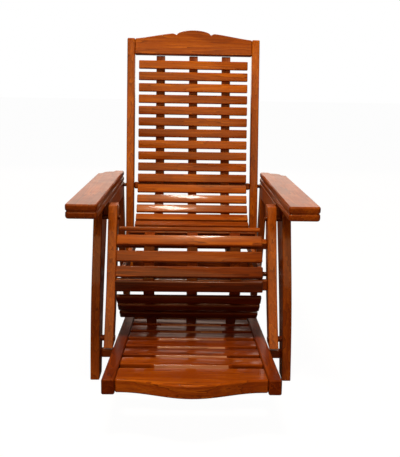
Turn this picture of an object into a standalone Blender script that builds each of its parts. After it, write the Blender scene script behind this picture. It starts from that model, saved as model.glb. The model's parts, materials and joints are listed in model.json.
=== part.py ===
"""Slatted teak reclining chair with broad arms and a pull-out footrest.

Metres.  +X is the sitter's left, -Y is the front and +Z is up.  The floor is z = 0, x = 0 is the plane of
symmetry, and the origin is under the middle of the chair.  Two rigid side frames, joined by two stretchers,
carry a back frame and a leg frame.  A link rail on each side ties them, so that the legs lift as the back
goes down.  The footrest slides out of the leg frame.
"""

from math import atan
from math import cos
from math import pi
from math import sin

import bmesh
import bpy
from mathutils import Matrix
from mathutils import Vector

# --- driving dimensions, with y counted from the axis that the back reclines on -----------------------------
AXIS_Y = 0.35700  # from the middle of the chair back to that axis
GAP = 0.0003  # between pieces that touch
SEAT_SLAT_LIFT = 0.0030  # a flat slat in the dip touches its batten at its edges only
CALF_SLAT_LIFT = 0.0022

# side frames, as distances from the plane of symmetry
ARM_INNER, ARM_OUTER = 0.2636, 0.3535
APRON_THICK = 0.0186
POST_THICK = 0.0276
ARM_BOTTOM, ARM_TOP = 0.5262, 0.5675
ARM_FRONT, ARM_REAR = -0.657, 0.020
APRON_BOTTOM = 0.4740
APRON_FRONT = -0.405
FRONT_LEG_DEPTH, FRONT_FOOT_DEPTH = 0.125, 0.055  # under the arm and at the floor
REAR_LEG_DEPTH, REAR_FOOT_DEPTH = 0.044, 0.044

# the back frame
HINGE_Z = 0.516
LEAN = atan(0.21)
STILE_INNER, STILE_OUTER = 0.2230, 0.2520
STILE_DEPTH = 0.034
STILE_TOP, STILE_FOOT = 1.0600, 0.1950
CREST_HEIGHT = 0.0588
CREST_DEPTH = 0.024
BACK_SLAT_HALF = 0.2075
BACK_SLAT_HEIGHT = 0.0310
BACK_SLAT_THICK = 0.0125
BACK_SLATS = 16
BACK_SLAT_PITCH = 0.0432
BACK_BATTEN_X = 0.1250
BATTEN_THICK = 0.0150

# the leg frame
LEG_HINGE_Y, LEG_HINGE_Z = -0.427, 0.4820
INNER_LEG_IN, INNER_LEG_OUT = 0.2347, 0.2630
INNER_LEG_DEPTH = 0.052
SEAT_SLAT_HEIGHT = 0.0340
SEAT_SLAT_THICK = 0.0130
CALF_SLAT_HALF = 0.2225
CALF_SLAT_SHIFT = 0.0085  # the calf slats sit a little to the right of the middle, as seen by the sitter
SEAT_SLAT_HALF = 0.2050
SEAT_BATTEN_X = 0.1325
BATTEN_WIDTH = 0.0330

# the link rails
LINK_IN, LINK_OUT = 0.2085, 0.2222
LINK_FRONT_Y, LINK_FRONT_Z = -0.474, 0.3142
LINK_REAR_Y, LINK_REAR_Z = -0.0435, 0.3095
LINK_DEPTH = 0.036

# the footrest, which lies along a slope that rises towards the front
FOOT_RISE = 0.1026
FOOT_SLOPE = atan(FOOT_RISE)
FOOT_TOP_Y, FOOT_TOP_Z = -0.5766, 0.1300
FOOT_IN, FOOT_OUT = 0.1969, 0.2305
FOOT_HEIGHT = 0.0410
FOOT_FRONT, FOOT_REAR = -0.876, -0.266
FOOT_REAR_CUT = 0.030  # the rails' lower rear corners are cut away
FOOT_BOARD_THICK = 0.0360
FOOT_SLAT_PITCH = 0.0738
FOOT_SLATS = 7

PIN_R = 0.0070
SEGMENTS = 20

# --- wood tones: colour, roughness -----------------------------------------------------------------------------
TONES = {
    "frame": ((0.36, 0.100, 0.020, 1.0), 0.30),
    "slat": ((0.40, 0.120, 0.022, 1.0), 0.28),
    "batten": ((0.24, 0.055, 0.012, 1.0), 0.38),
    "pin": ((0.15, 0.035, 0.010, 1.0), 0.40),
}


def reset():
    for obj in list(bpy.data.objects):
        bpy.data.objects.remove(obj, do_unlink=True)


def collection(name):
    made = bpy.data.collections.new(name)
    bpy.context.scene.collection.children.link(made)
    return made


def material(name, tone):
    colour, roughness = TONES[tone]
    made = bpy.data.materials.new(name + "_wood")
    made.use_nodes = True
    shader = made.node_tree.nodes["Principled BSDF"]
    shader.inputs["Base Color"].default_value = colour
    shader.inputs["Roughness"].default_value = roughness
    shader.inputs["Metallic"].default_value = 0.0
    made.diffuse_color = colour
    return made


reset()
CHAIR = collection("reclining_slat_chair")
CUTTERS = collection("cutters")


def axis_empty(name, y, z, parent=None):
    """An empty on a joint's axis; the moving pieces are its children."""
    empty = bpy.data.objects.new(name, None)
    empty.location = (0.0, y, z)
    empty.empty_display_size = 0.05
    empty.parent = parent
    CHAIR.objects.link(empty)
    return empty


SIDE_FRAMES = axis_empty("side_frames", AXIS_Y, 0.0)
RECLINE = axis_empty("recline_axis", 0.0, HINGE_Z, SIDE_FRAMES)
LEG_LIFT = axis_empty("leg_lift_axis", LEG_HINGE_Y, LEG_HINGE_Z, SIDE_FRAMES)
LINK = axis_empty("link_axis", LINK_FRONT_Y, LINK_FRONT_Z, SIDE_FRAMES)
FOOTREST = axis_empty("footrest_axis", FOOT_TOP_Y, FOOT_TOP_Z, SIDE_FRAMES)


def place(name, bm, tone, parent=None, matrix=None):
    """Turns a bmesh into a named wooden piece."""
    bmesh.ops.recalc_face_normals(bm, faces=bm.faces)
    mesh = bpy.data.meshes.new(name)
    bm.to_mesh(mesh)
    bm.free()
    obj = bpy.data.objects.new(name, mesh)
    CHAIR.objects.link(obj)
    mesh.materials.append(material(name, tone))
    hang(obj, parent or SIDE_FRAMES)
    if matrix is not None:
        obj.matrix_basis = matrix
    return obj


def hang(obj, parent):
    """Makes a piece the child of an empty, its place still counted from the back's axis."""
    obj.parent = parent
    if parent is not SIDE_FRAMES:
        obj.matrix_parent_inverse = Matrix.Translation(-parent.location)


def soften(obj, width, segments=1):
    """Eases the sharp edges."""
    mod = obj.modifiers.new("eased_edges", "BEVEL")
    mod.width = width
    mod.segments = segments
    mod.limit_method = "ANGLE"
    mod.angle_limit = 0.6
    mod.use_clamp_overlap = True
    return obj


def loft(rings):
    """A closed body through rings of equal length, with flat ends."""
    bm = bmesh.new()
    loops = [[bm.verts.new(point) for point in ring] for ring in rings]
    count = len(loops[0])
    for low, high in zip(loops, loops[1:]):
        for i in range(count):
            k = (i + 1) % count
            bm.faces.new((low[i], low[k], high[k], high[i]))
    bm.faces.new(loops[0])
    bm.faces.new(loops[-1])
    return bm


def side_prism(outline, x0, x1):
    """Extrudes a (y, z) outline from x0 to x1."""
    return loft([[(x, y, z) for y, z in outline] for x in (x0, x1)])


def box(size):
    bm = bmesh.new()
    bmesh.ops.create_cube(bm, size=1.0)
    bmesh.ops.scale(bm, vec=Vector(size), verts=bm.verts)
    return bm


def smooth(points, steps=5):
    """A Catmull-Rom curve through (y, z) points."""
    padded = [points[0]] + list(points) + [points[-1]]
    out = []
    for a, b, c, d in zip(padded, padded[1:], padded[2:], padded[3:]):
        for step in range(steps):
            t = step / steps
            out.append(tuple(spline(p, q, r, s, t) for p, q, r, s in zip(a, b, c, d)))
    out.append(tuple(points[-1]))
    return out


def spline(a, b, c, d, t):
    linear = (c - a) * t
    square = (2 * a - 5 * b + 4 * c - d) * t * t
    cube = (3 * b - a - 3 * c + d) * t * t * t
    return b + 0.5 * (linear + square + cube)


def along(path, distance):
    """The point at a distance along a path, and the slope there."""
    for a, b in zip(path, path[1:]):
        start, end = Vector(a), Vector(b)
        length = (end - start).length
        if distance <= length:
            return start.lerp(end, distance / length), (end - start).normalized()
        distance -= length
    return Vector(path[-1]), (Vector(path[-1]) - Vector(path[-2])).normalized()


def ribbon(name, path, x, width, thickness, tone, parent):
    """A batten: a strip bent along a (y, z) path, with its thickness on the side away from the slats."""
    left, right = [], []
    for i, point in enumerate(path):
        before = Vector(path[max(i - 1, 0)])
        after = Vector(path[min(i + 1, len(path) - 1)])
        run = (after - before).normalized()
        normal = Vector((-run.y, run.x))
        left.append(tuple(Vector(point)))
        right.append(tuple(Vector(point) + normal * thickness))
    outline = left + right[::-1]
    bm = side_prism(outline, x - width / 2, x + width / 2)
    return soften(place(name, bm, tone, parent), 0.0015)


def rod(radius, x0, x1, y, z):
    bm = bmesh.new()
    turn = Matrix.Rotation(pi / 2, 4, "Y")
    centre = Matrix.Translation(((x0 + x1) / 2, y, z))
    bmesh.ops.create_cone(
        bm, cap_ends=True, segments=SEGMENTS, radius1=radius, radius2=radius,
        depth=abs(x1 - x0), matrix=centre @ turn,
    )
    return bm


def bore(obj, x0, x1, y, z, radius):
    """Drills a hole along X."""
    mesh = bpy.data.meshes.new(obj.name + "_bore")
    bm = rod(radius, x0, x1, y, z)
    bmesh.ops.recalc_face_normals(bm, faces=bm.faces)
    bm.to_mesh(mesh)
    bm.free()
    cutter = bpy.data.objects.new(obj.name + "_bore", mesh)
    CUTTERS.objects.link(cutter)
    hang(cutter, SIDE_FRAMES)
    cutter.hide_render = True
    cutter.display_type = "WIRE"
    mod = obj.modifiers.new("pin_bore", "BOOLEAN")
    mod.operation = "DIFFERENCE"
    mod.solver = "EXACT"
    mod.object = cutter


def sides():
    return (("l", 1.0), ("r", -1.0))


# --- side frames -------------------------------------------------------------------------------------------------
def arm_outline(side):
    """The arm's plan: rounded front corners and a stepped ogee at the outer rear corner."""
    inner, outer = ARM_INNER, ARM_OUTER
    points = [(inner, ARM_REAR)]
    points += corner(inner, ARM_FRONT, 1, 1, 0.008)
    points += corner(outer, ARM_FRONT, -1, 1, 0.012)
    points += [(outer, ARM_REAR - 0.085)]
    step_x, step_y = outer - 0.016, ARM_REAR - 0.062
    points += arc(outer - 0.001, step_y - 0.001, 0.015, -pi / 2, -pi, 6)
    points += arc(step_x - 0.034, step_y + 0.002, 0.034, 0.0, pi / 2, 8)
    points += [(step_x - 0.040, ARM_REAR)]
    return [(side * x, y) for x, y in points]


def arc(cx, cy, radius, start, end, count):
    out = []
    for i in range(count + 1):
        a = start + (end - start) * i / count
        out.append((cx + radius * cos(a), cy + radius * sin(a)))
    return out


def corner(x, y, sx, sy, radius):
    """A rounded corner; sx and sy point into the board."""
    cx, cy = x + sx * radius, y + sy * radius
    if sx > 0:
        return arc(cx, cy, radius, pi, 1.5 * pi, 4)
    return arc(cx, cy, radius, -0.5 * pi, 0.0, 4)


def inset(outline, depth):
    """The outline drawn in by a depth."""
    area = sum(a[0] * b[1] - b[0] * a[1] for a, b in zip(outline, outline[1:] + outline[:1]))
    turn = 1.0 if area > 0 else -1.0
    out = []
    count = len(outline)
    for i, point in enumerate(outline):
        p = Vector(point)
        a = (p - Vector(outline[i - 1])).normalized()
        b = (Vector(outline[(i + 1) % count]) - p).normalized()
        na, nb = Vector((-a.y, a.x)) * turn, Vector((-b.y, b.x)) * turn
        middle = (na + nb).normalized()
        out.append(tuple(p + middle * depth / max(0.5, middle.dot(na))))
    return out


def make_arm(tag, side):
    outline = arm_outline(side)
    half = (ARM_BOTTOM + ARM_TOP) / 2
    levels = (
        (ARM_BOTTOM, 0.0035), (ARM_BOTTOM + 0.004, 0.0005), (ARM_BOTTOM + 0.009, 0.0),
        (half - 0.004, 0.0005), (half - 0.0015, 0.0030), (half + 0.0015, 0.0030),
        (half + 0.004, 0.0005), (ARM_TOP - 0.009, 0.0), (ARM_TOP - 0.004, 0.0005),
        (ARM_TOP, 0.0035),
    )
    rings = [[(x, y, z) for x, y in inset(outline, depth)] for z, depth in levels]
    place("arm_" + tag, loft(rings), "frame")


def make_apron(tag, side):
    low, high = APRON_BOTTOM, ARM_BOTTOM - GAP
    rear = -REAR_LEG_DEPTH / 2 - GAP
    outline = [(rear, high), (APRON_FRONT, high), (APRON_FRONT, low + 0.018)]
    outline += arc(APRON_FRONT + 0.018, low + 0.018, 0.018, pi, 1.5 * pi, 4)[1:]
    outline += arc(rear - 0.022, low + 0.022, 0.022, 1.5 * pi, 2 * pi, 5)
    bm = side_prism(outline, side * ARM_INNER, side * (ARM_INNER + APRON_THICK))
    apron = soften(place("apron_" + tag, bm, "frame"), 0.0015)
    return apron


def curved_leg(name, front, top_depth, low_depth, x0, x1, parent=None):
    """A leg sawn to a curve: the front line, and the same line moved back by a depth that tapers to the lower end."""
    line = smooth([(y, z) for z, y in front])
    high, low = line[0][1], line[-1][1]
    outline = line + [
        (y + low_depth + (top_depth - low_depth) * (z - low) / (high - low), z) for y, z in line
    ][::-1]
    return soften(place(name, side_prism(outline, x0, x1), "frame", parent), 0.002)


def make_front_leg(tag, side):
    inner = ARM_INNER + APRON_THICK + GAP
    front = (
        (ARM_BOTTOM - GAP, -0.4270), (0.4728, -0.4440), (0.3700, -0.4830), (0.2720, -0.5180),
        (0.1900, -0.5420), (0.1013, -0.5620), (0.0, -0.5797),
    )
    leg = curved_leg(
        "front_leg_" + tag, front, FRONT_LEG_DEPTH, FRONT_FOOT_DEPTH, side * inner, side * (inner + POST_THICK)
    )
    return leg


def make_rear_leg(tag, side):
    front = (
        (ARM_BOTTOM - GAP, -0.0220), (0.4600, -0.0180), (0.3700, -0.0060), (0.2700, 0.0120),
        (0.1800, 0.0450), (0.0900, 0.0980), (0.0, 0.1560),
    )
    leg = curved_leg(
        "rear_leg_" + tag, front, REAR_LEG_DEPTH, REAR_FOOT_DEPTH, side * ARM_INNER, side * (ARM_INNER + 0.0256)
    )
    return leg


def make_stretchers():
    half = ARM_INNER + APRON_THICK
    front = place("front_stretcher", box((2 * half, 0.022, 0.027)), "frame",
                  matrix=Matrix.Translation((0, -0.522, 0.0665)))
    soften(front, 0.003)
    rear = place("rear_stretcher", box((2 * (ARM_INNER - GAP), 0.022, 0.034)), "frame",
                 matrix=Matrix.Translation((0, 0.112, 0.103)))
    soften(rear, 0.003)


def make_side_frames():
    bores = {}
    for tag, side in sides():
        make_arm(tag, side)
        make_apron(tag, side)
        bores["front_leg_" + tag] = make_front_leg(tag, side)
        bores["rear_leg_" + tag] = make_rear_leg(tag, side)
    make_stretchers()
    return bores


# --- back frame ----------------------------------------------------------------------------------------------------
def lean_y(z):
    """The front-to-back middle of the back frame at a height."""
    return (z - HINGE_Z) * 0.21


def make_stile(tag, side):
    rise = STILE_TOP - STILE_FOOT
    length = rise / cos(LEAN)
    middle = (STILE_TOP + STILE_FOOT) / 2
    x = side * (STILE_INNER + STILE_OUTER) / 2
    spot = Matrix.Translation((x, lean_y(middle), middle)) @ Matrix.Rotation(-LEAN, 4, "X")
    bm = box((STILE_OUTER - STILE_INNER, STILE_DEPTH, length))
    return soften(place("back_stile_" + tag, bm, "frame", RECLINE, spot), 0.003)


def crest_rise(u):
    """The crest's top edge above its ends: a long swell, a notch and a centre hump."""
    notch, shoulder = 0.065, 0.080
    if u < notch:
        return 0.0150 + 0.0190 * (1.0 - (u / notch) ** 2) ** 0.5
    if u < shoulder:
        t = (u - notch) / (shoulder - notch)
        return 0.0150 + 0.0065 * sin(t * pi / 2)
    t = (STILE_INNER - u) / (STILE_INNER - shoulder)
    return 0.0215 * (3 * t * t - 2 * t ** 3) * 0.35 + 0.0215 * t * 0.65


def make_crest():
    half = STILE_INNER - GAP
    stations = [half, 0.205, 0.185, 0.160, 0.135, 0.110, 0.090, 0.080, 0.074, 0.069, 0.065]
    stations += [0.062, 0.056, 0.048, 0.038, 0.026, 0.013, 0.0]
    right = [(-u, CREST_HEIGHT + crest_rise(u)) for u in stations]
    top = right + [(-x, z) for x, z in right[::-1][1:]]
    outline = [(half, 0.0), (-half, 0.0)] + top
    bm = loft([[(x, y, z) for x, z in outline] for y in (-CREST_DEPTH / 2, CREST_DEPTH / 2)])
    low = STILE_TOP - CREST_HEIGHT * cos(LEAN)
    spot = Matrix.Translation((0, lean_y(low), low)) @ Matrix.Rotation(-LEAN, 4, "X")
    soften(place("crest_rail", bm, "frame", RECLINE, spot), 0.0025)


def make_rail(name, y, z, half, depth, height, tilt, parent):
    spot = Matrix.Translation((0, y, z)) @ Matrix.Rotation(tilt, 4, "X")
    return soften(place(name, box((2 * half, depth, height)), "batten", parent, spot), 0.003)


def back_path():
    """The line of the slats' back faces: straight up the frame, then swept forward into the seat."""
    top = STILE_TOP - CREST_HEIGHT * cos(LEAN) - 0.003
    line = [(lean_y(z) - 0.004, z) for z in (top, 0.95, 0.85, 0.75, 0.66, 0.60)]
    line += [(0.0010, 0.5600), (-0.0110, 0.5250), (-0.0330, 0.4870), (-0.0600, 0.4530)]
    line += [(-0.0920, 0.4200), (-0.1290, 0.3980), (-0.1700, 0.3850)]
    return smooth(line, 3)


def slat_matrix(path, distance, lift, thickness):
    """Where a slat lies on a batten: flat on its face, at a distance down the path."""
    point, run = along(path, distance)
    normal = Vector((run.y, -run.x))
    middle = point + normal * (lift + thickness / 2)
    turn = Matrix(((1, 0, 0), (0, -normal.x, -run.x), (0, -normal.y, -run.y))).to_4x4()
    return Matrix.Translation((0, middle.x, middle.y)) @ turn


def make_back_panel():
    path = back_path()
    pieces = []
    for i, x in enumerate((-BACK_BATTEN_X, 0.0, BACK_BATTEN_X)):
        name = "back_panel" if i == 0 else "back_panel_batten_%d" % i
        pieces.append(ribbon(name, path, x, BATTEN_WIDTH, BATTEN_THICK, "slat", RECLINE))
    first = 0.0355
    for i in range(BACK_SLATS):
        spot = slat_matrix(path, first + i * BACK_SLAT_PITCH, -0.0025, BACK_SLAT_THICK)
        bm = box((2 * BACK_SLAT_HALF, BACK_SLAT_THICK, BACK_SLAT_HEIGHT))
        slat = place("back_panel_slat_%02d" % i, bm, "slat", RECLINE, spot)
        pieces.append(soften(slat, 0.002))
    panel = pieces[0]
    for piece in pieces[1:]:
        CHAIR.objects.unlink(piece)
        CUTTERS.objects.link(piece)
        piece.hide_render = True
        piece.display_type = "WIRE"
        mod = panel.modifiers.new("glued_" + piece.name, "BOOLEAN")
        mod.operation = "UNION"
        mod.solver = "EXACT"
        mod.object = piece


def make_back():
    bores = {}
    for tag, side in sides():
        bores["back_stile_" + tag] = make_stile(tag, side)
    make_crest()
    half = STILE_INNER - GAP
    make_rail("back_rail_mid", 0.0125, 0.512, half, 0.016, 0.026, -LEAN, RECLINE)
    make_rail("back_rail_low", lean_y(0.2214), 0.2214, half, 0.022, 0.034, -LEAN, RECLINE)
    make_back_panel()
    return bores


# --- leg frame -----------------------------------------------------------------------------------------------------
SEAT_LINE = (
    (-0.1980, 0.3750), (-0.2200, 0.3700), (-0.2660, 0.3610), (-0.3110, 0.3680), (-0.3500, 0.3920),
    (-0.3860, 0.4240), (-0.4258, 0.4510), (-0.4680, 0.4540), (-0.5010, 0.4290), (-0.5220, 0.3846),
    (-0.5500, 0.3433), (-0.5620, 0.2970), (-0.5320, 0.2440), (-0.5010, 0.2060), (-0.4570, 0.1640),
    (-0.3985, 0.0975),
)
SEAT_SLAT_AT = (1, 2, 3, 4, 5)  # places on the line
CALF_SLAT_AT = (6, 8, 9, 10, 11, 12, 13, 14)
LINE_STEPS = 5


def seat_path():
    """The line of the seat and calf slats' under faces, from the rear of the seat down to the ankles."""
    faces = smooth(SEAT_LINE, LINE_STEPS)
    return [shift(faces, i, SEAT_SLAT_THICK + 0.002) for i in range(len(faces))]


def shift(path, i, depth):
    """A path's point moved to its left, which is the side away from the sitter."""
    run = (Vector(path[min(i + 1, len(path) - 1)]) - Vector(path[max(i - 1, 0)])).normalized()
    return tuple(Vector(path[i]) + Vector((-run.y, run.x)) * depth)


def make_seat():
    path = seat_path()
    for tag, x in (("l", SEAT_BATTEN_X), ("c", 0.0), ("r", -SEAT_BATTEN_X)):
        ribbon("seat_batten_" + tag, path, x, BATTEN_WIDTH, BATTEN_THICK, "batten", LEG_LIFT)
    for group, places, half, lift in (
        ("seat", SEAT_SLAT_AT, SEAT_SLAT_HALF, SEAT_SLAT_LIFT),
        ("calf", CALF_SLAT_AT, CALF_SLAT_HALF, CALF_SLAT_LIFT),
    ):
        for i, place_on_line in enumerate(places):
            distance = run_length(path, place_on_line * LINE_STEPS)
            aside = -CALF_SLAT_SHIFT if group == "calf" else 0.0
            make_seat_slat("%s_slat_%d" % (group, i + 1), path, distance, half, lift, aside)


def run_length(path, count):
    """How far along a path its point number count is."""
    return sum((Vector(b) - Vector(a)).length for a, b in zip(path[:count], path[1:count + 1]))


def make_seat_slat(name, path, distance, half, lift, aside):
    spot = Matrix.Translation((aside, 0, 0)) @ slat_matrix(path, distance, lift, SEAT_SLAT_THICK)
    bm = box((2 * half, SEAT_SLAT_THICK, SEAT_SLAT_HEIGHT))
    soften(place(name, bm, "slat", LEG_LIFT, spot), 0.0025)


def make_inner_leg(tag, side):
    front = (
        (0.5220, -0.4390), (0.4220, -0.4720), (0.3450, -0.5010), (0.2758, -0.5274),
        (0.2000, -0.5640), (0.1195, -0.6080),
    )
    leg = curved_leg(
        "inner_leg_" + tag, front, INNER_LEG_DEPTH, INNER_LEG_DEPTH, side * INNER_LEG_IN, side * INNER_LEG_OUT,
        LEG_LIFT,
    )
    return leg


def make_leg_frame():
    bores = {}
    for tag, side in sides():
        bores["inner_leg_" + tag] = make_inner_leg(tag, side)
    half = INNER_LEG_IN - GAP
    make_rail("knee_rail", -0.4530, 0.4060, half, 0.026, 0.026, 0.3, LEG_LIFT)
    make_rail("calf_rail", -0.5075, 0.2900, half, 0.018, 0.034, 0.0, LEG_LIFT)
    make_seat()
    return bores


# --- link rails ------------------------------------------------------------------------------------------------------
def make_link(tag, side):
    """A flat rail with a round end about each pin."""
    radius = LINK_DEPTH / 2
    rise = atan((LINK_FRONT_Z - LINK_REAR_Z) / (LINK_REAR_Y - LINK_FRONT_Y))
    outline = arc(LINK_FRONT_Y, LINK_FRONT_Z, radius, pi / 2 - rise, 1.5 * pi - rise, 8)
    outline += arc(LINK_REAR_Y, LINK_REAR_Z, radius, -pi / 2 - rise, pi / 2 - rise, 8)
    bm = side_prism(outline, side * LINK_IN, side * LINK_OUT)
    return soften(place("link_rail_" + tag, bm, "frame", LINK), 0.0015)


# --- footrest --------------------------------------------------------------------------------------------------------
def foot_spot(y, drop=0.0):
    """A place on the footrest's sloping top, and its tilt."""
    z = FOOT_TOP_Z - (y - FOOT_TOP_Y) * FOOT_RISE - drop
    return Matrix.Translation((0, y, z)) @ Matrix.Rotation(-FOOT_SLOPE, 4, "X")


def make_foot_rail(tag, side):
    x = side * (FOOT_IN + FOOT_OUT) / 2
    length = (FOOT_REAR - FOOT_FRONT) / cos(FOOT_SLOPE)
    spot = Matrix.Translation((x, 0, 0)) @ foot_spot((FOOT_FRONT + FOOT_REAR) / 2, FOOT_HEIGHT / 2)
    end, half, wide = length / 2, FOOT_HEIGHT / 2, (FOOT_OUT - FOOT_IN) / 2
    outline = [(-end, -half), (end - FOOT_REAR_CUT, -half), (end, FOOT_REAR_CUT - half), (end, half), (-end, half)]
    bm = side_prism(outline, -wide, wide)
    return soften(place("foot_rail_" + tag, bm, "frame", FOOTREST, spot), 0.003)


def make_foot_board():
    """The front board: straight behind, with a shallow serpentine front."""
    half = FOOT_IN - GAP
    rear, ends, swell = 0.0330, -0.0480, -0.0400
    outline = [(half, rear), (-half, rear)]
    for i in range(25):
        u = -half + 2 * half * i / 24
        t = abs(u) / half
        bulge = 0.5 + 0.5 * cos(pi * min(1.0, t * 1.05))
        outline.append((u, ends + swell * bulge))
    bm = loft([[(x, y, z) for x, y in outline] for z in (-FOOT_BOARD_THICK, 0.0)])
    spot = foot_spot(-0.822, 0.0010)
    soften(place("foot_board", bm, "frame", FOOTREST, spot), 0.0035)


def make_foot_slats():
    """Slats with narrow ends and a wider middle, whose front edge slopes away."""
    half, broad = FOOT_IN - GAP, 0.1030
    narrow_depth, broad_depth, shift = 0.0255, 0.0360, 0.010

    def ring(front, z):
        return [(x, y, z) for x, y in (
            (-half, -narrow_depth), (-broad - shift, -narrow_depth), (-broad, -front),
            (broad, -front), (broad + shift, -narrow_depth), (half, -narrow_depth),
            (half, narrow_depth), (-half, narrow_depth),
        )]

    for i in range(FOOT_SLATS):
        bm = loft([ring(broad_depth, -0.0065), ring(broad_depth, -0.0010), ring(broad_depth - 0.0075, 0.0085)])
        spot = foot_spot(-0.7300 + i * FOOT_SLAT_PITCH, 0.0120)
        soften(place("foot_slat_%d" % (i + 1), bm, "slat", FOOTREST, spot), 0.002)


def make_footrest():
    rails = {}
    for tag, side in sides():
        rails["foot_rail_" + tag] = make_foot_rail(tag, side)
    make_foot_board()
    make_foot_slats()
    return rails


# --- pins ------------------------------------------------------------------------------------------------------------
def make_pin(name, side, x0, x1, y, z, bored, parent=None, loose=(), radius=PIN_R):
    """A dowel along X, and its bores; a loose bore is drilled wider."""
    place(name, rod(radius, side * x0, side * x1, y, z), "pin", parent)
    ends = (side * (min(x0, x1) - 0.0004), side * (max(x0, x1) + 0.0004))
    for obj in bored:
        play = 0.0028 if obj.name in loose else 0.0003
        bore(obj, ends[0], ends[1], y, z, radius + play)


def make_pins(parts):
    for tag, side in sides():
        stile = parts["back_stile_" + tag]
        inner = parts["inner_leg_" + tag]
        link = parts["link_rail_" + tag]
        make_pin("recline_pin_" + tag, side, 0.2290, 0.2820, 0.0, HINGE_Z, (stile, parts["rear_leg_" + tag]))
        make_pin(
            "leg_pin_" + tag, side, 0.2270, 0.3020, LEG_HINGE_Y, LEG_HINGE_Z,
            (inner, parts["front_leg_" + tag]),
        )
        make_pin(
            "link_front_pin_" + tag, side, 0.2050, 0.2550, LINK_FRONT_Y, LINK_FRONT_Z,
            (inner, link), LEG_LIFT,
        )
        make_pin(
            "link_rear_pin_" + tag, side, 0.2050, 0.2420, LINK_REAR_Y, LINK_REAR_Z,
            (stile, link), RECLINE, loose=(link.name,),
        )
        make_pin(
            "foot_pin_" + tag, side, FOOT_OUT + 0.0008, 0.2760, -0.5760, 0.1400, (inner,), LEG_LIFT,
            radius=0.0090,
        )


def main():
    parts = make_side_frames()
    parts.update(make_back())
    parts.update(make_leg_frame())
    for tag, side in sides():
        parts["link_rail_" + tag] = make_link(tag, side)
    make_footrest()
    make_pins(parts)


main()
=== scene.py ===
"""The slatted reclining chair's looks: varnished teak, light and camera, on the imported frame."""

import json
import math
import random

import bmesh
import bpy
from mathutils import Matrix
from mathutils import Vector


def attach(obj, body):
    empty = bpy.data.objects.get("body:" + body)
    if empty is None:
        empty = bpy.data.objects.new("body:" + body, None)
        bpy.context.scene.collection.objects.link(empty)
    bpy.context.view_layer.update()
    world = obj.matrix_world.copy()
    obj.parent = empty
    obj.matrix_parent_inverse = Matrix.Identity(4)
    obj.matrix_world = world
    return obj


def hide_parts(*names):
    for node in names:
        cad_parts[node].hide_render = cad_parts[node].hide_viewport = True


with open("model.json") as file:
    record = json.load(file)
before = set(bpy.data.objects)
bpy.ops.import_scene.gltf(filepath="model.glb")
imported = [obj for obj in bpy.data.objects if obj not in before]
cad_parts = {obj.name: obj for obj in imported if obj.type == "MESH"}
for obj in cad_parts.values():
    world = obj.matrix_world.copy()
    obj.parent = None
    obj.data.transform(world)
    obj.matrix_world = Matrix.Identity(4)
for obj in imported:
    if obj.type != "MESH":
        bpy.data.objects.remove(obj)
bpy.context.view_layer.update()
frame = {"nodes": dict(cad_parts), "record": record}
NODES = frame["nodes"]
BODY = {
    name: body
    for body, names in frame["record"]["behaviour"]["bodies"].items()
    for name in names
}

# --- materials -----------------------------------------------------------------------------------
BLACK = (0.0, 0.0, 0.0)
WHITE = (1.0, 1.0, 1.0)


class Nodes:
    """Short names for building a material's node tree."""

    def __init__(self, name):
        self.material = bpy.data.materials.new(name)
        self.material.use_nodes = True
        self.tree = self.material.node_tree
        self.shader = self.tree.nodes["Principled BSDF"]

    def add(self, kind, inputs=None, **settings):
        node = self.tree.nodes.new(kind)
        for key, value in settings.items():
            setattr(node, key, value)
        for key, value in (inputs or {}).items():
            if isinstance(value, bpy.types.NodeSocket):
                self.tree.links.new(value, node.inputs[key])
            else:
                node.inputs[key].default_value = value
        return node

    def link(self, out, key):
        self.tree.links.new(out, self.shader.inputs[key])

    def ramp(self, factor, stops):
        node = self.add("ShaderNodeValToRGB", {"Fac": factor})
        ramp = node.color_ramp
        while len(ramp.elements) < len(stops):
            ramp.elements.new(0.5)
        for element, (place, colour) in zip(ramp.elements, stops):
            element.position = place
            element.color = (*colour, 1.0)
        return node.outputs["Color"]

    def mix(self, factor, a, b, mode="MIX"):
        node = self.tree.nodes.new("ShaderNodeMix")
        node.data_type = "RGBA"
        node.blend_type = mode
        for socket, value in (
            (node.inputs[0], factor),
            (node.inputs[6], a),
            (node.inputs[7], b),
        ):
            if isinstance(value, bpy.types.NodeSocket):
                self.tree.links.new(value, socket)
            else:
                socket.default_value = value if isinstance(value, float) else (*value, 1.0)
        return node.outputs[2]

    def multiply(self, a, b):
        return self.add("ShaderNodeMath", {0: a, 1: b}, operation="MULTIPLY").outputs[0]

    def spread(self, value, low, high, to_low, to_high):
        """Value, with low to high carried to to_low to to_high."""
        return self.add("ShaderNodeMapRange", {
            "Value": value,
            "From Min": low, "From Max": high,
            "To Min": to_low, "To Max": to_high,
        }).outputs["Result"]


# Each tone holds the dark line, the body and the light figure of the wood.
TONES = {
    "honey": ((0.150, 0.0210, 0.0006), (0.390, 0.0700, 0.0012), (0.540, 0.1250, 0.0040)),
    "amber": ((0.110, 0.0140, 0.0005), (0.310, 0.0500, 0.0010), (0.450, 0.0950, 0.0030)),
    "russet": ((0.065, 0.0070, 0.0004), (0.190, 0.0250, 0.0008), (0.310, 0.0520, 0.0020)),
    # a pale, bright tone that paints a highlight on the footrest slats' sloping fronts
    "painted_highlight": ((0.200, 0.0450, 0.0100), (0.370, 0.1200, 0.0480), (0.560, 0.2500, 0.1250)),
    "umber": ((0.030, 0.0030, 0.0003), (0.085, 0.0095, 0.0006), (0.150, 0.0210, 0.0010)),
}

# How often each kind of figure repeats in a metre: along the grain, then twice across it.
RING_SCALE = (1.1, 15.0, 15.0)
FIBRE_SCALE = (7.0, 260.0, 260.0)
PORE_SCALE = (60.0, 900.0, 900.0)
PATCH_SCALE = (2.2, 7.0, 7.0)
HEART_SCALE = (2.6, 8.0, 8.0)

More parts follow.
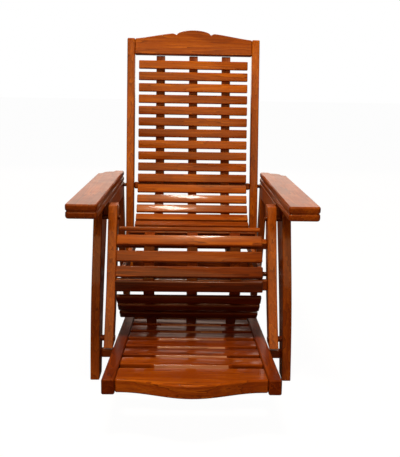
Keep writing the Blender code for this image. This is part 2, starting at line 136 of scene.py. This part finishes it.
# What the figures do to the wood's tone, as a multiplier by the noise's value.
STREAK_TONES = ((0.30, (0.62, 0.55, 0.50)), (0.55, WHITE), (0.78, (1.22, 1.25, 1.3)))
PATCH_TONES = ((0.34, (0.66, 0.58, 0.52)), (0.50, WHITE), (0.68, (1.25, 1.34, 1.5)))
HEART_TONES = ((0.515, WHITE), (0.535, (0.74, 0.64, 0.58)))

# How strongly each figure shows.
RING_DEPTH = 0.72
STREAK_DEPTH = 0.85
PATCH_DEPTH = 0.85
HEART_DEPTH = 0.8
PORE_DEPTH = 0.45

COAT = 0.30
COAT_DULL = 0.08
COAT_PAINTED_HIGHLIGHT = 0.5
GLOSS = 0.07
GLOSS_PAINTED_HIGHLIGHT = 0.12
SHEEN = 0.35
SHEEN_DULL = 0.08
COAT_IOR = 1.42
WOOD_IOR = 1.45
WOOD_GLINT = (1.0, 0.55, 0.22, 1.0)
WORN_EDGE_RADIUS = 0.0035
SMEAR_SCALE = 26.0


def teak(name, tone, turn, seed, coat=COAT, gloss=GLOSS, sheen=SHEEN):
    """Varnished teak whose grain runs along local X once turned by the Euler angles in turn.

    coat is the varnish's weight, gloss its roughness, and sheen the bare wood's specular level.
    """
    dark, body, light = TONES[tone]
    draw = random.Random(seed)
    n = Nodes(name)
    coords = n.add("ShaderNodeTexCoord").outputs["Object"]
    place = n.add(
        "ShaderNodeMapping", {"Vector": coords, "Rotation": turn}, vector_type="TEXTURE"
    ).outputs["Vector"]
    offset = (draw.uniform(0, 9), draw.uniform(0, 9), draw.uniform(0, 9))

    def stretched(scale):
        return n.add("ShaderNodeMapping", {
            "Vector": place, "Location": offset, "Scale": scale,
        }).outputs["Vector"]

    # growth rings, cut along the board into long arches
    along = stretched(RING_SCALE)
    bend = n.add("ShaderNodeTexNoise", {
        "Vector": along, "Scale": 1.3, "Detail": 3.0, "Roughness": 0.55,
    })
    drift = n.add(
        "ShaderNodeVectorMath", {0: bend.outputs["Color"], 1: (0.0, 2.6, 2.6)},
        operation="MULTIPLY",
    )
    bent = n.add(
        "ShaderNodeVectorMath", {0: along, 1: drift.outputs["Vector"]}, operation="ADD"
    )
    rings = n.add("ShaderNodeTexWave", {
        "Vector": bent.outputs["Vector"], "Scale": 0.9, "Distortion": 2.4, "Detail": 3.0,
        "Detail Scale": 1.4, "Detail Roughness": 0.6,
    }, wave_type="RINGS", rings_direction="X", wave_profile="SAW")
    wood = n.ramp(
        rings.outputs["Fac"], ((0.0, light), (0.45, body), (0.86, body), (1.0, dark))
    )
    calm = n.mix(RING_DEPTH, body, wood)

    # fibres and pores
    fibres = n.add("ShaderNodeTexNoise", {
        "Vector": stretched(FIBRE_SCALE), "Scale": 1.0, "Detail": 4.0, "Roughness": 0.7,
    })
    pores = n.add("ShaderNodeTexNoise", {
        "Vector": stretched(PORE_SCALE), "Scale": 1.0, "Detail": 1.0,
    })
    pore_mask = n.ramp(pores.outputs["Fac"], ((0.62, BLACK), (0.70, WHITE)))
    streaks = n.ramp(fibres.outputs["Fac"], STREAK_TONES)
    grained = n.mix(STREAK_DEPTH, calm, streaks, "MULTIPLY")

    # broad changes of tone along the board
    patches = n.add("ShaderNodeTexNoise", {
        "Vector": stretched(PATCH_SCALE), "Scale": 1.0, "Detail": 2.0, "Distortion": 0.6,
    })
    patch_tone = n.ramp(patches.outputs["Fac"], PATCH_TONES)
    varied = n.mix(PATCH_DEPTH, grained, patch_tone, "MULTIPLY")

    # heartwood against sapwood: a crisp, gently curving boundary
    heart = n.add("ShaderNodeTexNoise", {
        "Vector": stretched(HEART_SCALE), "Scale": 1.0, "Detail": 0.5,
    })
    heart_tone = n.ramp(heart.outputs["Fac"], HEART_TONES)
    varied = n.mix(HEART_DEPTH, varied, heart_tone, "MULTIPLY")
    pored = n.mix(n.multiply(pore_mask, PORE_DEPTH), varied, dark)

    # edges worn and polished a little paler by use, in patches
    rounded = n.add("ShaderNodeBevel", {"Radius": WORN_EDGE_RADIUS})
    flat = n.add("ShaderNodeNewGeometry")
    agree = n.add(
        "ShaderNodeVectorMath", {0: rounded.outputs["Normal"], 1: flat.outputs["Normal"]},
        operation="DOT_PRODUCT",
    )
    at_edge = n.spread(agree.outputs["Value"], 0.992, 0.90, 0.0, 1.0)
    uneven = n.spread(patches.outputs["Fac"], 0.35, 0.65, 0.10, 0.50)
    n.link(n.mix(n.multiply(at_edge, uneven), pored, light), "Base Color")

    # varnish: a hard clear coat that lies a little unevenly over the grain
    smear = n.add("ShaderNodeTexNoise", {"Vector": place, "Scale": SMEAR_SCALE, "Detail": 3.0})
    n.link(n.spread(smear.outputs["Fac"], 0.3, 0.7, 0.36, 0.42), "Roughness")
    relief = n.add(
        "ShaderNodeMath", {0: fibres.outputs["Fac"], 1: pore_mask}, operation="SUBTRACT"
    )
    bump = n.add("ShaderNodeBump", {
        "Height": relief.outputs[0], "Strength": 0.12, "Distance": 0.0003,
    })
    wave = n.add("ShaderNodeBump", {
        "Height": smear.outputs["Fac"], "Strength": 0.06, "Distance": 0.0008,
        "Normal": bump.outputs["Normal"],
    })
    n.link(wave.outputs["Normal"], "Normal")
    n.link(wave.outputs["Normal"], "Coat Normal")
    shader = n.shader.inputs
    shader["Coat Weight"].default_value = coat
    shader["Coat Roughness"].default_value = gloss
    shader["Coat IOR"].default_value = COAT_IOR
    shader["IOR"].default_value = WOOD_IOR
    shader["Specular IOR Level"].default_value = sheen
    shader["Specular Tint"].default_value = WOOD_GLINT
    return n.material


ALONG_X = (0.0, 0.0, 0.0)
ALONG_Y = (0.0, 0.0, math.pi / 2)
UPRIGHT = (0.0, math.pi / 2, 0.0)


def grain_of(name):
    """Which way a piece's grain runs."""
    if name.startswith(("arm_", "apron_", "foot_rail", "link_rail")):
        return ALONG_Y
    if "leg_l" in name or "leg_r" in name or "stile" in name or "batten" in name:
        return UPRIGHT
    return ALONG_X


def tone_of(name, draw):
    """The tone of a piece's wood, drawn by chance where the photo shows a mixture."""
    if "pin" in name:
        return "umber"
    # the battens and the rails behind the back get dark russet wood: their own darker tone, and
    # partly painted shade for the recess they sit in behind the slats
    if "batten" in name or name in ("back_rail_mid", "back_rail_low", "rear_stretcher"):
        return "russet"
    if name.startswith("calf_slat") and int(name[-1]) > 3:
        # painted shade: the lower calf slats get darker wood, russet then umber, for the shade on
        # their downturned faces
        return "russet" if name.endswith("4") else "umber"
    if name.startswith("foot_slat"):
        return draw.choice(("amber", "russet"))
    if name.startswith(("foot_rail", "seat_slat")):
        return "russet"
    if name.startswith(("crest", "calf_slat", "foot_board", "arm_")):
        return "amber"
    return draw.choice(("honey", "amber"))


# --- finished pieces -----------------------------------------------------------------------------
WELD_DISTANCE = 0.00002
FLAT_ANGLE = 0.01
ROUND_WIDTH = 0.0007
ROUND_SEGMENTS = 2
ROUND_FROM_ANGLE = math.radians(24)
FULL_WEIGHT = 100


def finer(node):
    """A finished copy of a CAD piece: welded, its edges rounded, and smooth across its curves."""
    source = NODES[node]
    bm = bmesh.new()
    bm.from_mesh(source.data)
    bmesh.ops.remove_doubles(bm, verts=bm.verts, dist=WELD_DISTANCE)
    bmesh.ops.dissolve_limit(bm, angle_limit=FLAT_ANGLE, verts=bm.verts, edges=bm.edges)
    mesh = bpy.data.meshes.new(node + "_finished")
    for face in bm.faces:
        face.smooth = True
    bm.to_mesh(mesh)
    bm.free()
    piece = bpy.data.objects.new(node + "_finished", mesh)
    bpy.context.scene.collection.objects.link(piece)
    edge = piece.modifiers.new("rounded", "BEVEL")
    edge.width = ROUND_WIDTH
    edge.segments = ROUND_SEGMENTS
    edge.limit_method = "ANGLE"
    edge.angle_limit = ROUND_FROM_ANGLE
    edge.harden_normals = "slat" in node or node == "back_panel"
    if not edge.harden_normals:
        even = piece.modifiers.new("flat_faces_stay_flat", "WEIGHTED_NORMAL")
        even.mode = "FACE_AREA"
        even.weight = FULL_WEIGHT
        even.keep_sharp = False
    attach(piece, BODY[node])
    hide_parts(node)
    return piece


# The footrest slats' sloping fronts that carry the painted highlight: which way they face, how far
# out they reach, and a size that leaves out the eased edges beside them.
PAINTED_HIGHLIGHT_FACING = Vector((0.0, -0.74, 0.67))
PAINTED_HIGHLIGHT_AGREEMENT = 0.93
PAINTED_HIGHLIGHT_REACH = 0.1
PAINTED_HIGHLIGHT_AREA = 0.0003


def dress(piece, node, number):
    """Gives a piece a wood of its own, seeded by its number."""
    draw = random.Random(number * 17 + 3)
    tone = tone_of(node, draw)
    coat = COAT_DULL if "batten" in node or "rail_" in node else COAT
    sheen = SHEEN_DULL if node.startswith("foot_") else SHEEN
    made = teak("teak_" + node, tone, grain_of(node), number * 13 + 5, coat, sheen=sheen)
    piece.data.materials.clear()
    piece.data.materials.append(made)
    if node.startswith("foot_slat"):
        # painted highlight: the middles' sloping front edges get a pale, glossy wood that stands
        # in for the light they catch
        piece.data.materials.append(
            teak("painted_highlight_" + node, "painted_highlight", ALONG_X, number * 7 + 2, COAT_PAINTED_HIGHLIGHT, GLOSS_PAINTED_HIGHLIGHT)
        )
        for face in piece.data.polygons:
            if (
                face.normal.dot(PAINTED_HIGHLIGHT_FACING) > PAINTED_HIGHLIGHT_AGREEMENT
                and abs(face.center.x) < PAINTED_HIGHLIGHT_REACH
                and face.area > PAINTED_HIGHLIGHT_AREA
            ):
                face.material_index = 1


BACK_SEED = 91
BACK_BATTENS = 3
BACK_BATTEN_PITCH = 0.125
# A face belongs to a back slat when it is no farther than this from the slat's middle, measured
# along the back and across it. Both are a little more than half a slat.
BACK_SLAT_ALONG = 0.0165
BACK_SLAT_ACROSS = 0.0070
# The slats are found by their end faces, which all lie within END_DEPTH of the panel's side.
END_FACING = 0.95
END_DEPTH = 0.001
SLATS_APART = 0.02


def back_slat_middles(mesh):
    """The middle of each slat's end in the YZ plane, from the top down."""
    width = max(v.co.x for v in mesh.vertices)
    ends = sorted(
        (
            tuple(f.center)
            for f in mesh.polygons
            if f.normal.x > END_FACING and f.center.x > width - END_DEPTH
        ),
        key=lambda c: -c[2],
    )
    slats = []
    for end in ends:
        spot = Vector((0.0, end[1], end[2]))
        if not slats or (spot - slats[-1]).length > SLATS_APART:
            slats.append(spot)
    return slats


def dress_back_panel(piece, number):
    """Every slat and batten of the back panel is a board of its own, so each has its own wood."""
    draw = random.Random(BACK_SEED)
    mesh = piece.data
    slats = back_slat_middles(mesh)
    mesh.materials.clear()
    for i in range(len(slats)):
        tone = draw.choice(("honey", "honey", "amber", "honey", "honey"))
        mesh.materials.append(
            teak("teak_back_slat_%02d" % (i + 1), tone, ALONG_X, number * 13 + i)
        )
    # the battens' dark russet wood is partly painted shade for their recess behind the slats
    for i in range(BACK_BATTENS):
        mesh.materials.append(
            teak("teak_back_batten_%d" % (i + 1), "russet", UPRIGHT, number * 29 + i, COAT_DULL)
        )
    for face in mesh.polygons:
        centre = Vector((0.0, face.center.y, face.center.z))
        near = min(range(len(slats)), key=lambda i: (centre - slats[i]).length)
        before, after = slats[max(near - 1, 0)], slats[min(near + 1, len(slats) - 1)]
        run = (after - before).normalized()
        across = Vector((0.0, -run.z, run.y))
        offset = centre - slats[near]
        if abs(offset.dot(run)) < BACK_SLAT_ALONG and abs(offset.dot(across)) < BACK_SLAT_ACROSS:
            face.material_index = near
        else:
            batten = min(
                range(BACK_BATTENS),
                key=lambda i: abs(face.center.x - (i - 1) * BACK_BATTEN_PITCH),
            )
            face.material_index = len(slats) + batten


for number, node in enumerate(sorted(NODES)):
    piece = finer(node)
    if node == "back_panel":
        dress_back_panel(piece, number)
    else:
        dress(piece, node, number)

# --- plugs in the footrest's rails ---------------------------------------------------------------
AXIS_Y = 0.3570  # the recline pins
FOOT_RISE = 0.1026  # how much the footrest climbs for each metre to the front
FOOT_TOP_HEIGHT = 0.1300  # the footrest's top, this high where it is
FOOT_TOP_AHEAD = 0.5766  # this far in front of the recline pins
PLUG_X = 0.2137
PLUG_Y = (-0.846, -0.800)  # from the recline pins
PLUG_RADIUS = 0.0042
PLUG_SIDES = 20
PLUG_SEED = 771
# From the hidden foot of the plug to its dome: a share of the radius, and a height.
PLUG_PROFILE = ((1.0, -0.0010), (1.0, 0.00005), (0.93, 0.00020), (0.55, 0.00026))


def make_plug(name, radius, place, turn, body, material):
    """A round wooden plug, a shallow dome let into a piece."""
    bm = bmesh.new()
    loops = []
    for reach, height in PLUG_PROFILE:
        loops.append([
            bm.verts.new((
                radius * reach * math.cos(2 * math.pi * i / PLUG_SIDES),
                radius * reach * math.sin(2 * math.pi * i / PLUG_SIDES),
                height,
            ))
            for i in range(PLUG_SIDES)
        ])
    for low, high in zip(loops, loops[1:]):
        for i in range(PLUG_SIDES):
            j = (i + 1) % PLUG_SIDES
            bm.faces.new((low[i], low[j], high[j], high[i]))
    bm.faces.new(loops[-1])
    bm.faces.new(loops[0][::-1])
    for face in bm.faces:
        face.smooth = True
    bm.transform(Matrix.Translation(place) @ turn.to_4x4())
    mesh = bpy.data.meshes.new(name)
    bm.to_mesh(mesh)
    bm.free()
    plug = bpy.data.objects.new(name, mesh)
    bpy.context.scene.collection.objects.link(plug)
    mesh.materials.append(material)
    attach(plug, body)


def foot_top(x, y):
    """A spot on the footrest's sloping top, with y measured from the recline pins."""
    return Vector((x, y + AXIS_Y, FOOT_TOP_HEIGHT - (y + FOOT_TOP_AHEAD) * FOOT_RISE))


plug_wood = teak("teak_plug", "umber", ALONG_X, PLUG_SEED)
slope = Matrix.Rotation(-math.atan(FOOT_RISE), 3, "X")
for side in (1, -1):
    for i, y in enumerate(PLUG_Y):
        name = "rail_plug_%d_%d" % (side + 2, i)
        make_plug(name, PLUG_RADIUS, foot_top(side * PLUG_X, y), slope, "footrest", plug_wood)

# --- floor, light and camera ---------------------------------------------------------------------
FLOOR_SIZE = 90.0
FLOOR_DROP = 0.0005
FLOOR_COLOUR = (0.20, 0.165, 0.135, 1.0)
FLOOR_ROUGHNESS = 0.9
FLOOR_GLOW = 1.22
FLOOR_GLOW_SHARE = 0.80
WORLD_COLOUR = (1.0, 0.985, 0.97, 1.0)
WORLD_STRENGTH = 0.08
LENS = 45.5
SENSOR_WIDTH = 36.0
CAMERA_AHEAD = 2.2078  # in front of the recline pins
CAMERA_X = -0.0152
CAMERA_HEIGHT = 0.8789
CAMERA_YAW = math.radians(1.262)
CAMERA_PITCH = math.radians(13.59)
CAMERA_ROLL = math.radians(0.95)


def make_floor():
    """A pale floor that looks white and throws only a dim, warm light back on the chair."""
    bpy.ops.mesh.primitive_plane_add(size=FLOOR_SIZE, location=(0.0, 0.0, -FLOOR_DROP))
    floor = bpy.context.object
    floor.name = "floor"
    n = Nodes("pale_floor")
    n.shader.inputs["Base Color"].default_value = FLOOR_COLOUR
    n.shader.inputs["Roughness"].default_value = FLOOR_ROUGHNESS
    glow = n.add("ShaderNodeEmission", {"Color": (*WHITE, 1.0), "Strength": FLOOR_GLOW})
    seen = n.add("ShaderNodeLightPath")
    part = n.multiply(seen.outputs["Is Camera Ray"], FLOOR_GLOW_SHARE)
    both = n.add("ShaderNodeMixShader", {0: part, 1: n.shader.outputs[0], 2: glow.outputs[0]})
    n.tree.links.new(both.outputs[0], n.tree.nodes["Material Output"].inputs["Surface"])
    floor.data.materials.append(n.material)


def make_light(name, place, aim, size, power, colour):
    """A rectangular lamp that the camera doesn't see."""
    lamp = bpy.data.lights.new(name, "AREA")
    lamp.shape = "RECTANGLE"
    lamp.size, lamp.size_y = size
    lamp.energy = power
    lamp.color = colour
    obj = bpy.data.objects.new(name, lamp)
    obj.location = place
    obj.rotation_euler = (Vector(aim) - Vector(place)).to_track_quat("-Z", "Y").to_euler()
    obj.visible_camera = False
    bpy.context.scene.collection.objects.link(obj)


def make_world():
    """A white backdrop that adds only a little light of its own."""
    world = bpy.data.worlds.new("studio")
    world.use_nodes = True
    tree = world.node_tree
    back = tree.nodes["Background"]
    back.inputs["Color"].default_value = WORLD_COLOUR
    back.inputs["Strength"].default_value = WORLD_STRENGTH
    white = tree.nodes.new("ShaderNodeBackground")
    white.inputs["Color"].default_value = (*WHITE, 1.0)
    path = tree.nodes.new("ShaderNodeLightPath")
    choice = tree.nodes.new("ShaderNodeMixShader")
    tree.links.new(path.outputs["Is Camera Ray"], choice.inputs[0])
    tree.links.new(back.outputs[0], choice.inputs[1])
    tree.links.new(white.outputs[0], choice.inputs[2])
    tree.links.new(choice.outputs[0], tree.nodes["World Output"].inputs["Surface"])
    bpy.context.scene.world = world


def make_camera():
    """The photograph's view: from the front, a little above the arms and looking slightly down."""
    data = bpy.data.cameras.new("camera")
    data.sensor_width = SENSOR_WIDTH
    data.lens = LENS
    camera = bpy.data.objects.new("camera", data)
    turn = Matrix.Rotation(-CAMERA_YAW, 4, "Z")
    turn = turn @ Matrix.Rotation(math.pi / 2 - CAMERA_PITCH, 4, "X")
    turn = turn @ Matrix.Rotation(CAMERA_ROLL, 4, "Z")
    spot = (CAMERA_X, AXIS_Y - CAMERA_AHEAD, CAMERA_HEIGHT)
    camera.matrix_world = Matrix.Translation(spot) @ turn
    bpy.context.scene.collection.objects.link(camera)
    bpy.context.scene.camera = camera


make_floor()
make_world()
make_light(
    "key", place=(-0.35, -0.85, 3.9), aim=(0.0, 0.0, 0.6), size=(0.9, 0.4),
    power=125.0, colour=(1.0, 0.95, 0.86),
)
make_light(
    "front_fill", place=(-0.3, -3.6, 2.3), aim=(0.0, 0.0, 0.6), size=(3.4, 1.6),
    power=44.0, colour=(1.0, 0.70, 0.34),
)
make_light(
    "rear_window", place=(0.0, 4.6, 1.40), aim=(0.0, 0.0, 0.57), size=(5.4, 1.2),
    power=38.0, colour=(1.0, 0.80, 0.66),
)
make_camera()
bpy.context.scene.view_settings.view_transform = "Standard"
